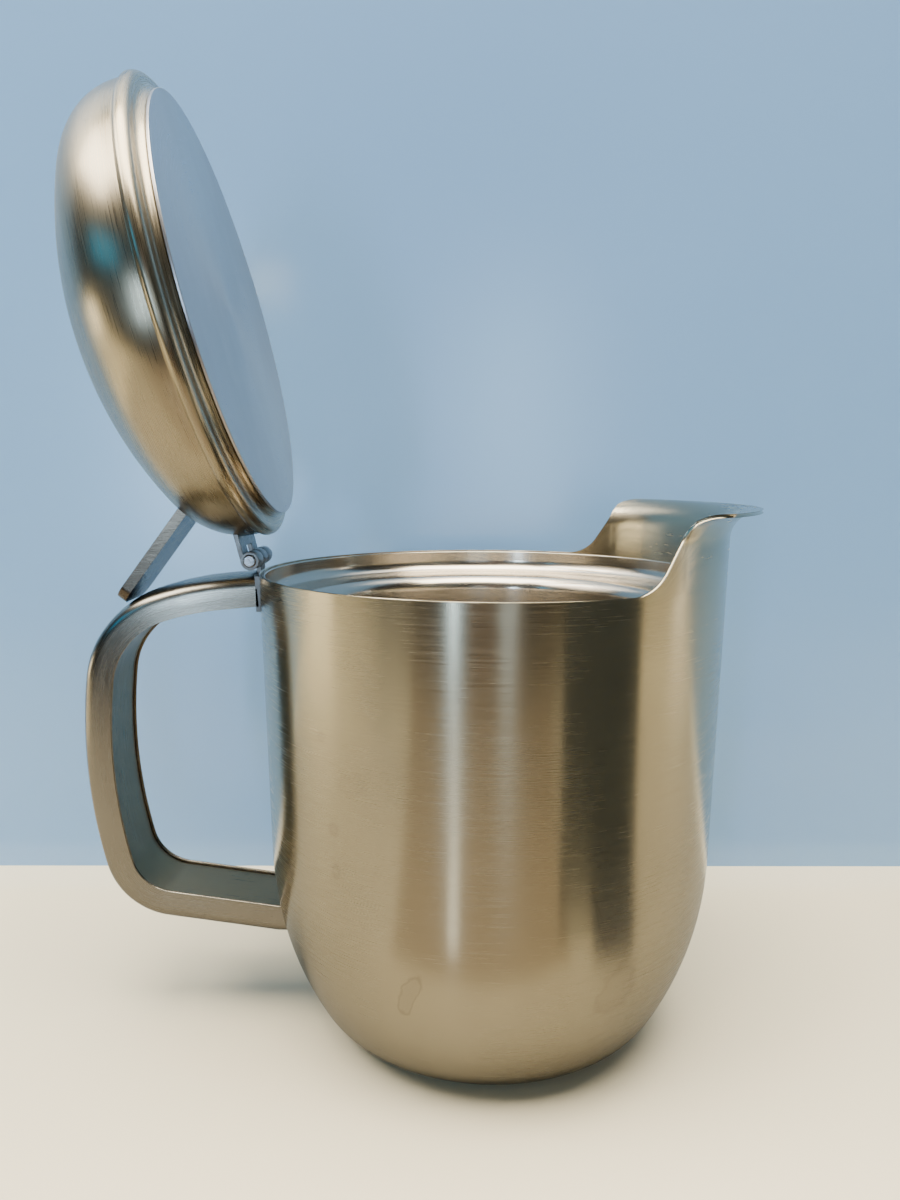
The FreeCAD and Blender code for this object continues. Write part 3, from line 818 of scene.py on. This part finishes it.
def sweep_tree():
    """Geometry nodes that carry a section along a path, with a brush map along it."""
    tree = bpy.data.node_groups.new("bent_sheet", "GeometryNodeTree")
    for name, kind in (("Geometry", "Geometry"), ("Section", "Object"), ("Material", "Material")):
        tree.interface.new_socket(name, in_out="INPUT", socket_type="NodeSocket" + kind)
    tree.interface.new_socket("Geometry", in_out="OUTPUT", socket_type="NodeSocketGeometry")
    nodes, links = tree.nodes, tree.links
    enter = nodes.new("NodeGroupInput")
    leave = nodes.new("NodeGroupOutput")
    section = nodes.new("GeometryNodeObjectInfo")
    links.new(enter.outputs["Section"], section.inputs["Object"])
    captures = []
    for source in (enter.outputs["Geometry"], section.outputs["Geometry"]):
        capture = nodes.new("GeometryNodeCaptureAttribute")
        capture.domain = "POINT"
        capture.capture_items.new("FLOAT", "Length")
        length = nodes.new("GeometryNodeSplineParameter")
        links.new(source, capture.inputs["Geometry"])
        links.new(length.outputs["Length"], capture.inputs["Length"])
        captures.append(capture)
    sweep = nodes.new("GeometryNodeCurveToMesh")
    sweep.inputs["Fill Caps"].default_value = True
    links.new(captures[0].outputs["Geometry"], sweep.inputs["Curve"])
    links.new(captures[1].outputs["Geometry"], sweep.inputs["Profile Curve"])
    join = nodes.new("ShaderNodeCombineXYZ")
    links.new(captures[0].outputs["Length"], join.inputs["X"])
    links.new(captures[1].outputs["Length"], join.inputs["Y"])
    store = nodes.new("GeometryNodeStoreNamedAttribute")
    store.data_type = "FLOAT2"
    store.domain = "CORNER"
    store.inputs["Name"].default_value = BRUSH_MAP
    links.new(sweep.outputs["Mesh"], store.inputs["Geometry"])
    links.new(join.outputs["Vector"], store.inputs["Value"])
    smooth = nodes.new("GeometryNodeSetShadeSmooth")
    realize = nodes.new("GeometryNodeRealizeInstances")
    paint = nodes.new("GeometryNodeSetMaterial")
    links.new(enter.outputs["Material"], paint.inputs["Material"])
    chain = (store, smooth, realize, paint, leave)
    for node, following in zip(chain, chain[1:]):
        links.new(node.outputs["Geometry"], following.inputs["Geometry"])
    return tree


def swept(name, path, section, material, tree):
    """A section carried along a path in the XZ plane, as a plain mesh at its place."""
    rail = curve_object(name + "_path", [(x, 0, z) for x, z in path], closed=False)
    outline = curve_object(name + "_section", [(y, -w, 0) for y, w in section], closed=True)
    modifier = rail.modifiers.new("sheet", "NODES")
    modifier.node_group = tree
    sockets = {item.name: item.identifier for item in tree.interface.items_tree if item.in_out == "INPUT"}
    modifier[sockets["Section"]] = outline
    modifier[sockets["Material"]] = material
    mesh = bpy.data.meshes.new_from_object(rail.evaluated_get(bpy.context.evaluated_depsgraph_get()))
    mesh.name = name
    piece = bpy.data.objects.new(name, mesh)
    bpy.context.scene.collection.objects.link(piece)
    for spare in (rail, outline):
        bpy.data.objects.remove(spare)
    return piece


def meet_wall(piece, first, s, sink):
    """Slide a swept piece's last ring, which starts at vertex first, along X until it is sunk in the wall."""
    wall = np.array(shell_wall(s, 0.0))
    order = np.argsort(wall[:, 1])
    for vertex in piece.data.vertices[first:]:
        radius = np.interp(vertex.co.z, wall[order, 1], wall[order, 0]) - sink
        vertex.co.x = -math.sqrt(max(radius ** 2 - vertex.co.y ** 2, 0))
    piece.data.update()


class JUG_OT_handle(bpy.types.Operator):
    """Build the handle's channel and its inner strip"""
    bl_idname = "jug.handle"
    bl_label = "Handle"

    def execute(self, context):
        s = context.scene.jug_shell
        h = context.scene.jug_handle
        finish = context.scene.jug_finish
        brushing = {"along": 120, "across": 4500, "anisotropy": 0.6}
        # the channel and the strip take the darker steel colours: painted shade
        steel = brushed_steel("handle_brushed_steel", finish.handle_steel, 0.22, **brushing)
        inlay = brushed_steel("inlay_brushed_steel", finish.shaded_inlay_steel, 0.28, **brushing)
        tree = sweep_tree()
        path = handle_path(s)
        pieces = (("handle_bar", channel_section(h), steel, "handle_channel"),
                  ("handle_inlay", strip_section(h), inlay, "handle_strip"))
        for name, section, material, node in pieces:
            piece = swept(name, path, section, material, tree)
            meet_wall(piece, len(section) * (len(path) - 1), s, HANDLE_FOOT)
            piece.data.set_sharp_from_angle(angle=SHARP_ANGLE)
            settle(piece, material, "body", "handle_steel", node)
        plate = plain_metal("foot_plate_steel", (0.42, 0.4, 0.38), 0.4)
        for node in ("handle_upper_foot", "handle_lower_foot"):
            finish_node(node, plate)
        return {"FINISHED"}


# ---------------------------------------------------------------- hinge

PLATE_EDGE = 0.12 * MM
PIN_EDGE = 0.2 * MM


class JUG_OT_hinge(bpy.types.Operator):
    """Build the hinge's bracket, strap and pin"""
    bl_idname = "jug.hinge"
    bl_label = "Hinge"

    def execute(self, context):
        # painted shade: the hinge's plates take a steel colour much darker than the rest of the jug
        plate = plain_metal("hinge_plate_shaded_steel", (0.16, 0.152, 0.142), 0.32)
        bright = plain_metal("pin_bright_steel", (0.34, 0.33, 0.33), 0.22)
        bracket = bevelled_copy("hinge_leaf", "hinge_bracket", PLATE_EDGE)
        settle(bracket, plate, "body", "hinge_steel", "hinge_bracket")
        strap = bevelled_copy("hinge_arm", "hinge_strap", PLATE_EDGE)
        settle(strap, plate, "lid", "hinge_steel", "hinge_strap")
        pin = bevelled_copy("pivot_pin", "hinge_pin", PIN_EDGE)
        settle(pin, bright, "body", "pin_steel", "hinge_pin")
        return {"FINISHED"}


# ---------------------------------------------------------------- lid

LEDGE = 5 * MM                                                  # flat ledge that the disc lies on
LEDGE_BEND, LEDGE_TURN = 0.8 * MM, math.radians(70)             # from the ledge up into the pan's wall
BEAD_RADIUS = 1.8 * MM
BEAD_INNER, BEAD_OUTER = math.radians(65), math.radians(85)     # the bead's turns in the pan and in the dome
BEAD_RUN = 0.7 * MM
NECK_RADIUS, NECK_TURN = 1.1 * MM, math.radians(65)             # from the bead in to the dome's wall
WALL_BEND = 0.3 * MM
DOME_RUN = 0.9 * MM
LID_COLUMNS = 220
LEVER_EDGE = 0.3 * MM


def lid_start(s):
    """Height of the disc's underside when the lid is closed, from the disc's place when it is open."""
    low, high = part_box("lid_disc")
    middle = (low + high) / 2
    back = Matrix.Rotation(OPEN_ANGLE, 4, "Y")
    return (back @ (middle - PIN) + PIN).z - s.sheet / 2


def pan_path(x, z, inset):
    """One face of the pan, from the ledge's inner edge to the joint with the dome."""
    path = Outline(x, z + inset, 0).line(LEDGE)
    path.arc(LEDGE_BEND - inset, LEDGE_TURN, math.radians(8))
    return path.arc(BEAD_RADIUS + inset, -BEAD_INNER, math.radians(5)).line(BEAD_RUN)


def pan_inner_radius(s):
    """Radius of the ledge's inner edge, which brings the bead's crest to its radius."""
    bulge = Outline(0, 0, LEDGE_TURN - BEAD_INNER).arc(BEAD_RADIUS, BEAD_OUTER).end[0]
    return s.bead_radius - bulge - pan_path(0, 0, 0).end[0]


def dome_face(s, z, inset):
    """One face of the dome from its joint with the pan to the crown."""
    joint = pan_path(pan_inner_radius(s), z + s.sheet, inset)
    path = Outline(*joint.end, joint.heading).arc(BEAD_RADIUS - inset, BEAD_OUTER, math.radians(4))
    path.arc(NECK_RADIUS - inset, NECK_TURN, math.radians(6))
    path.arc(WALL_BEND + inset, -NECK_TURN, math.radians(9)).line(DOME_RUN)
    path.arc(s.shoulder_radius - inset, s.shoulder_turn, WALL_STEP)
    crown_turn = math.pi - path.heading
    return path.arc(path.end[0] / math.sin(crown_turn), crown_turn, math.radians(1.5)).points


class JUG_OT_lid(bpy.types.Operator):
    """Build the lid's dome, pan and disc"""
    bl_idname = "jug.lid"
    bl_label = "Lid"

    def execute(self, context):
        s = context.scene.jug_lid
        finish = context.scene.jug_finish
        z = lid_start(s)
        steel = brushed_steel("lid_spun_steel", finish.lid_steel, 0.26, anisotropy=0.6)
        angles = around(LID_COLUMNS)
        dome_section = dome_face(s, z, 0.0)[::-1] + dome_face(s, z, s.sheet)
        dome = lathe("lid_shell", lambda angle: dome_section, angles, closed=False)
        settle(open_lid(dome), steel, "lid", "lid_steel", "lid_dome")
        low, high = (pan_path(pan_inner_radius(s), z + s.sheet, inset).points for inset in (0.0, s.sheet))
        pan_section = low + high[::-1]
        pan = lathe("lid_rim_ring", lambda angle: pan_section, angles, closed=True)
        settle(open_lid(pan), steel, "lid", "lid_steel", "lid_pan")
        radius = (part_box("lid_disc")[1].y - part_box("lid_disc")[0].y) / 2
        edge = s.disc_edge
        disc = Outline(0, z, 0).to_x(radius - edge, pieces=6).arc(edge, math.pi / 2).to_z(z + s.sheet - edge)
        disc.arc(edge, math.pi / 2).to_x(0, pieces=6)
        plate = lathe("lid_plate", lambda angle: disc.points, angles, closed=False)
        satin = brushed_steel("disc_satin_steel", (0.44, 0.43, 0.43), 0.30, depth=0.05, anisotropy=0.3)
        settle(open_lid(plate), satin, "lid", "disc_steel", "lid_disc")
        return {"FINISHED"}


class JUG_OT_lever(bpy.types.Operator):
    """Build the thumb lever"""
    bl_idname = "jug.lever"
    bl_label = "Thumb Lever"

    def execute(self, context):
        lever = bevelled_copy("thumb_rest", "thumb_lever", LEVER_EDGE, segments=4)
        finish = context.scene.jug_finish
        # the lever's steel takes the darkened colour: painted shade
        steel = brushed_steel("lever_satin_steel", finish.shaded_lever_steel, 0.24, along=300, across=5200, depth=0.02,
                              use_map=False)
        settle(lever, steel, "lid", "lid_steel", "thumb_lever")
        return {"FINISHED"}


# ---------------------------------------------------------------- stage

CAMERA_PLACE = (-10.48 * MM, -207.8 * MM, 124.56 * MM)
CAMERA_YAW = 0.42       # degrees, as are the next two
CAMERA_PITCH = -8.11
CAMERA_ROLL = 0.23
CAMERA_LENS = 28.5      # mm, on a sensor 36 mm high
LAMP_TARGET = Vector((0, 0, 0.09))

# name, azimuth and elevation in degrees, distance and size in metres, power in watts, colour, spread in degrees
LAMPS = (
    ("overhead", 15, 80, 0.95, (0.9, 0.7), 22.0, (1.0, 0.93, 0.80), 140),
    ("rear_top", 172, 62, 1.0, (0.7, 0.25), 3.0, (0.92, 0.96, 1.0), 150),
    ("high_left", -72, 50, 1.0, (0.6, 0.35), 7.0, (1.0, 0.95, 0.86), 150),
    ("blue_left", -52, 20, 0.95, (0.50, 0.20), 0.45, (0.03, 0.40, 0.80), 150),
    ("low_left", -88, -2, 0.95, (0.30, 0.14), 0.60, (1.0, 0.90, 0.66), 150),
    ("left_strip", -19, 3, 1.1, (0.060, 0.36), 1.5, (0.50, 0.72, 1.0), 150),
    ("middle_strip", 5.0, 5, 1.1, (0.040, 0.36), 0.9, (0.60, 0.80, 1.0), 150),
    ("right_side", 100, 6, 1.0, (0.40, 0.5), 1.7, (1.0, 0.95, 0.86), 150),
)
# upright cards that only show in reflections, where they paint dark and brown reflections: name, the ends of
# the foot, height, colour
CARDS = (
    ("dark_card", ((0.050, -0.112), (0.112, -0.072)), 0.24, (0.030, 0.040, 0.040)),
    ("brown_card", ((-0.068, -0.300), (0.052, -0.290)), 0.30, (0.055, 0.022, 0.008)),
)
# sheets on the table that only show in reflections, where the tan, brown and dark ones paint shade on the table
# and the pale one paints a pale streak: name, corners, height above the table, colour
REFLECTED_SHADE_AND_LIGHT = (
    ("tan_mat", ((-0.32, -0.30), (0.32, -0.30), (0.32, 0.06), (-0.32, 0.06)), 0.3 * MM, (0.32, 0.285, 0.21)),
    ("brown_mat", ((-0.060, -0.070), (0.045, -0.080), (0.130, -0.30), (-0.22, -0.30)), 0.6 * MM,
     (0.17, 0.13, 0.08)),
    ("dark_mat", ((0.052, -0.068), (0.17, -0.20), (0.28, -0.125), (0.066, -0.047)), 0.9 * MM,
     (0.03, 0.03, 0.028)),
    ("pale_mat", ((-0.030, -0.095), (-0.082, -0.24), (-0.068, -0.24), (-0.022, -0.095)), 1.2 * MM,
     (0.62, 0.64, 0.66)),
)
WALL_BEHIND = 75.4 * MM
TABLE_FRONT = 270 * MM
STAGE_HALF_WIDTH, TABLE_BACK, WALL_HEIGHT = 2.5, 2.0, 0.55
STAGE_DROP = 0.05 * MM      # the table below the jug's foot


def soft_box(name, azimuth, elevation, distance, size, power, colour, spread):
    """A rectangular lamp that faces the jug. Azimuth 0 is in front, positive towards the spout."""
    light = bpy.data.lights.new(name, "AREA")
    light.shape = "RECTANGLE"
    light.size, light.size_y = size
    light.energy = power
    light.color = colour
    light.spread = math.radians(spread)
    lamp = bpy.data.objects.new(name, light)
    bpy.context.scene.collection.objects.link(lamp)
    a, e = math.radians(azimuth), math.radians(elevation)
    out = Vector((math.sin(a) * math.cos(e), -math.cos(a) * math.cos(e), math.sin(e)))
    lamp.visible_camera = False
    lamp.location = LAMP_TARGET + out * distance
    lamp.rotation_euler = (-out).to_track_quat("-Z", "Y").to_euler()


def stage_material(name, colour, roughness):
    """Painted board with a faint cloudiness."""
    tree = Tree(name)
    place = tree.node("ShaderNodeTexCoord").outputs["Object"]
    cloud = tree.noise(tree.mapped(place, (3, 3, 3)), detail=2.0)
    tree.links.new(tree.tint(colour, tree.spread(cloud, 0.97, 1.02)), tree.shader.inputs["Base Color"])
    tree.shader.inputs["Roughness"].default_value = roughness
    tree.shader.inputs["IOR"].default_value = 1.75
    return tree.material


def see_through_back(material):
    """Let a wall be looked through from behind, so that it hides nothing from there."""
    nodes, links = material.node_tree.nodes, material.node_tree.links
    side = nodes.new("ShaderNodeNewGeometry")
    clear = nodes.new("ShaderNodeBsdfTransparent")
    mix = nodes.new("ShaderNodeMixShader")
    links.new(side.outputs["Backfacing"], mix.inputs["Fac"])
    links.new(nodes["Principled BSDF"].outputs["BSDF"], mix.inputs[1])
    links.new(clear.outputs["BSDF"], mix.inputs[2])
    links.new(mix.outputs["Shader"], nodes["Material Output"].inputs["Surface"])
    return material


def only_reflected(card):
    """Keep a card out of sight except in reflections."""
    card.visible_camera = False
    card.visible_diffuse = False
    card.visible_shadow = False


def plane(name, corners, material):
    """A flat four-sided part of the stage."""
    mesh = bpy.data.meshes.new(name)
    mesh.from_pydata(corners, [], [(0, 1, 2, 3)])
    mesh.materials.append(material)
    piece = bpy.data.objects.new(name, mesh)
    bpy.context.scene.collection.objects.link(piece)
    return piece


class JUG_OT_stage(bpy.types.Operator):
    """Build the floor, the backdrop, the lights and the camera"""
    bl_idname = "jug.stage"
    bl_label = "Stage"

    def execute(self, context):
        low = CAD_BOX[0].z - STAGE_DROP
        wide = STAGE_HALF_WIDTH
        table = [(-wide, -TABLE_FRONT, low), (wide, -TABLE_FRONT, low), (wide, TABLE_BACK, low),
                 (-wide, TABLE_BACK, low)]
        plane("floor", table, stage_material("pale_table", (0.84, 0.745, 0.53), 0.45))
        wall = [(-wide, WALL_BEHIND, low), (wide, WALL_BEHIND, low), (wide, WALL_BEHIND, WALL_HEIGHT),
                (-wide, WALL_BEHIND, WALL_HEIGHT)]
        plane("wall", wall, see_through_back(stage_material("pale_blue_wall", (0.19, 0.37, 0.66), 0.24)))
        # the cards paint dark and brown reflections into the steel
        for name, ((x0, y0), (x1, y1)), height, colour in CARDS:
            only_reflected(plane(name, [(x0, y0, low), (x1, y1, low), (x1, y1, height), (x0, y0, height)],
                                 stage_material(name, colour, 0.8)))
        # these sheets paint shade and a pale streak into the steel's reflections of the table
        for name, outline, lift, colour in REFLECTED_SHADE_AND_LIGHT:
            reflected_sheet = plane(name, [(x, y, low + lift) for x, y in outline], stage_material(name, colour, 0.7))
            only_reflected(reflected_sheet)
        for lamp in LAMPS:
            soft_box(*lamp)
        world = bpy.data.worlds.new("studio")
        world.use_nodes = True
        glow = world.node_tree.nodes["Background"]
        glow.inputs["Color"].default_value = (0.50, 0.60, 0.62, 1)
        glow.inputs["Strength"].default_value = 0.05
        context.scene.world = world
        camera = bpy.data.cameras.new("camera")
        camera.lens = CAMERA_LENS
        camera.sensor_width = 36
        camera.clip_start = 0.01
        holder = bpy.data.objects.new("camera", camera)
        context.scene.collection.objects.link(holder)
        holder.location = CAMERA_PLACE
        turn = Matrix.Rotation(math.radians(-CAMERA_YAW), 4, "Z") @ Matrix.Rotation(
            math.radians(90 + CAMERA_PITCH), 4, "X") @ Matrix.Rotation(math.radians(CAMERA_ROLL), 4, "Z")
        holder.rotation_euler = turn.to_euler()
        context.scene.camera = holder
        return {"FINISHED"}


# ---------------------------------------------------------------- panel and registration

OPERATORS = (JUG_OT_shell, JUG_OT_liner, JUG_OT_base, JUG_OT_handle, JUG_OT_hinge, JUG_OT_lid, JUG_OT_lever,
             JUG_OT_stage)
GROUPS = {"jug_shell": JugShellSizes, "jug_lid": JugLidSizes, "jug_handle": JugHandleSizes,
          "jug_finish": JugFinish}


class JUG_PT_panel(bpy.types.Panel):
    """The jug's sizes, finishes and pieces"""
    bl_idname = "JUG_PT_panel"
    bl_label = "Pouring Jug"
    bl_space_type = "VIEW_3D"
    bl_region_type = "UI"
    bl_category = "Jug"

    def draw(self, context):
        for name, group in GROUPS.items():
            box = self.layout.box()
            for key in group.__annotations__:
                box.prop(getattr(context.scene, name), key)
        for operator in OPERATORS:
            self.layout.operator(operator.bl_idname)


def register():
    for cls in (*GROUPS.values(), *OPERATORS, JUG_PT_panel):
        bpy.utils.register_class(cls)
    for name, group in GROUPS.items():
        setattr(bpy.types.Scene, name, PointerProperty(type=group))


def unregister():
    for name in GROUPS:
        delattr(bpy.types.Scene, name)
    for cls in reversed((*GROUPS.values(), *OPERATORS, JUG_PT_panel)):
        bpy.utils.unregister_class(cls)


def main():
    register()
    bpy.ops.jug.shell()
    bpy.ops.jug.liner()
    bpy.ops.jug.base()
    bpy.ops.jug.handle()
    bpy.ops.jug.hinge()
    bpy.ops.jug.lid()
    bpy.ops.jug.lever()
    bpy.ops.jug.stage()
    bpy.context.view_layer.update()


if __name__ == "__main__":
    main()
